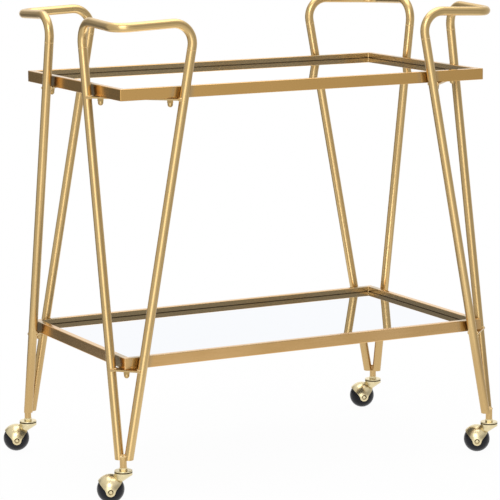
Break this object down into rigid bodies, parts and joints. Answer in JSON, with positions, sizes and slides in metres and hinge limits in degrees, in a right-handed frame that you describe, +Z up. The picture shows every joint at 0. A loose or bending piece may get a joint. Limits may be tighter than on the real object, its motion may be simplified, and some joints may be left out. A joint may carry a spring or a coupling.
{
  "type": "bar cart",
  "caption": "Rolling bar cart: mirrored rectangular trays with raised rims between bent-tube corner legs that loop over the top as handles, on hooded ball casters",
  "frame": {"origin": "on the floor, in the middle of the cart's bounding box with its casters as they stand", "axes": "+Z up and the longest way, +X along the long sides of the trays, +Y towards the back"},
  "size_m": [0.7922, 0.472, 0.8147],
  "materials": {
    "satin_gold": "satin gold plating on steel",
    "polished_brass": "polished brass plating",
    "mirror": "silvered glass",
    "bearing_steel": "ground steel",
    "black_rubber": "smooth black"
  },
  "bodies": {
    "cart": {"top_back_rail": "satin_gold", "top_left_rail": "satin_gold", "top_front_rail": "satin_gold", "top_right_rail": "satin_gold", "top_ledge": "satin_gold", "top_mirror": "mirror", "lower_back_rail": "satin_gold", "lower_left_rail": "satin_gold", "lower_front_rail": "satin_gold", "lower_right_rail": "satin_gold", "lower_ledge": "satin_gold", "lower_mirror": "mirror", "top_studs": "polished_brass", "top_cap_nuts": "polished_brass", "lower_studs": "polished_brass", "lower_cap_nuts": "polished_brass", "front_left_leg_loop": "satin_gold", "front_left_stem_sleeve": "satin_gold", "front_left_top_lugs": "satin_gold", "front_left_lower_gusset": "satin_gold", "front_left_caster_stem": "polished_brass", "front_left_upper_race": "polished_brass", "front_left_race_balls": "bearing_steel", "front_right_leg_loop": "satin_gold", "front_right_stem_sleeve": "satin_gold", "front_right_top_lugs": "satin_gold", "front_right_lower_gusset": "satin_gold", "front_right_caster_stem": "polished_brass", "front_right_upper_race": "polished_brass", "front_right_race_balls": "bearing_steel", "back_right_leg_loop": "satin_gold", "back_right_stem_sleeve": "satin_gold", "back_right_top_lugs": "satin_gold", "back_right_lower_gusset": "satin_gold", "back_right_caster_stem": "polished_brass", "back_right_upper_race": "polished_brass", "back_right_race_balls": "bearing_steel", "back_left_leg_loop": "satin_gold", "back_left_stem_sleeve": "satin_gold", "back_left_top_lugs": "satin_gold", "back_left_lower_gusset": "satin_gold", "back_left_caster_stem": "polished_brass", "back_left_upper_race": "polished_brass", "back_left_race_balls": "bearing_steel"},
    "front_left_caster": {"front_left_swivel_hood": "polished_brass", "front_left_wheel_axle": "polished_brass"},
    "front_left_wheel": {"front_left_ball_wheel": "black_rubber"},
    "front_right_caster": {"front_right_swivel_hood": "polished_brass", "front_right_wheel_axle": "polished_brass"},
    "front_right_wheel": {"front_right_ball_wheel": "black_rubber"},
    "back_right_caster": {"back_right_swivel_hood": "polished_brass", "back_right_wheel_axle": "polished_brass"},
    "back_right_wheel": {"back_right_ball_wheel": "black_rubber"},
    "back_left_caster": {"back_left_swivel_hood": "polished_brass", "back_left_wheel_axle": "polished_brass"},
    "back_left_wheel": {"back_left_ball_wheel": "black_rubber"}
  },
  "joints": [
    {"name": "front_left_swivel", "type": "hinge", "parent": "cart", "child": "front_left_caster", "pos_m": [-0.35192, -0.21905, 0.0525], "axis": [0, 0, 1], "continuous": true},
    {"name": "front_left_roll", "type": "hinge", "parent": "front_left_caster", "child": "front_left_wheel", "pos_m": [-0.37202, -0.2101, 0.0235], "axis": [-0.4067, -0.9135, 0], "continuous": true},
    {"name": "front_right_swivel", "type": "hinge", "parent": "cart", "child": "front_right_caster", "pos_m": [0.3806, -0.21905, 0.0525], "axis": [0, 0, 1], "continuous": true},
    {"name": "front_right_roll", "type": "hinge", "parent": "front_right_caster", "child": "front_right_wheel", "pos_m": [0.36174, -0.20772, 0.0235], "axis": [-0.515, -0.8572, 0], "continuous": true},
    {"name": "back_right_swivel", "type": "hinge", "parent": "cart", "child": "back_right_caster", "pos_m": [0.3806, 0.20247, 0.0525], "axis": [0, 0, 1], "continuous": true},
    {"name": "back_right_roll", "type": "hinge", "parent": "back_right_caster", "child": "back_right_wheel", "pos_m": [0.3598, 0.20964, 0.0235], "axis": [-0.3256, -0.9455, 0], "continuous": true},
    {"name": "back_left_swivel", "type": "hinge", "parent": "cart", "child": "back_left_caster", "pos_m": [-0.35192, 0.20247, 0.0525], "axis": [0, 0, 1], "continuous": true},
    {"name": "back_left_roll", "type": "hinge", "parent": "back_left_caster", "child": "back_left_wheel", "pos_m": [-0.3726, 0.21, 0.0235], "axis": [-0.342, -0.9397, 0], "continuous": true}
  ]
}
